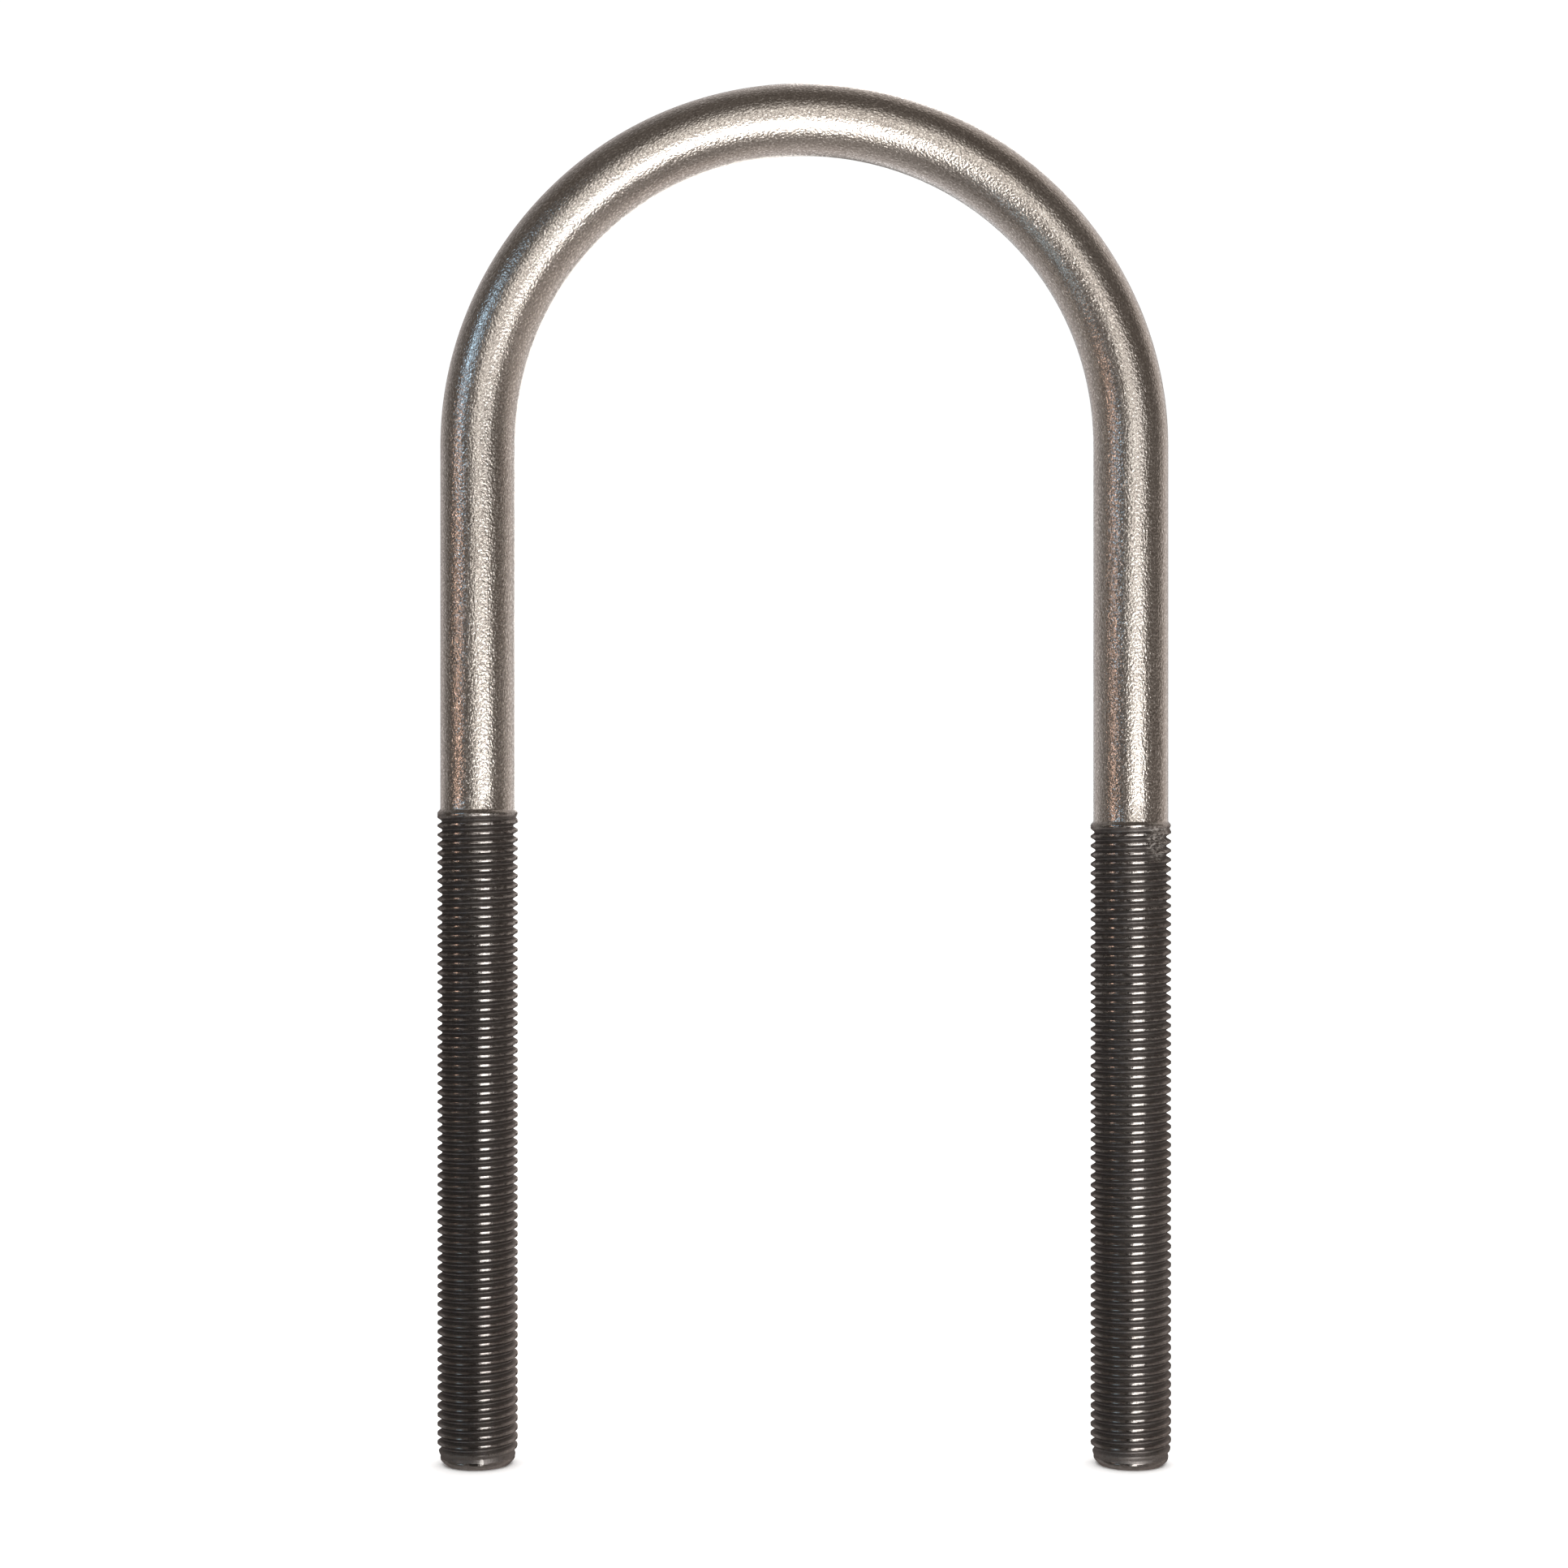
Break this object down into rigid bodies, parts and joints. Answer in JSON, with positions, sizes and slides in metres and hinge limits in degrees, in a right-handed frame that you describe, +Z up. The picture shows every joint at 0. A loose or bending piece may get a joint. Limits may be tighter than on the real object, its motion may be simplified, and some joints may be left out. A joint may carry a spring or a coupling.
{
  "type": "u-bolt",
  "caption": "Round-bend U-bolt: one round steel rod bent to a half circle, with two long parallel legs that end in fine rolled threads, for clamping a pipe or axle tube to a plate.",
  "frame": {"origin": "centre of the bend, on the axis of the pipe that the bolt clamps", "axes": "+Z up towards the crown of the bend, away from the threaded ends; +Y along the clamped pipe; the two legs stand side by side along X"},
  "size_m": [0.1014, 0.011, 0.1909],
  "materials": {
    "steel": "self-coloured satin steel with a fine orange-peel grain on the plain rod, and dark, oily gunmetal on the rolled threads"
  },
  "bodies": {
    "root": {"u_bolt": "steel"}
  },
  "joints": []
}
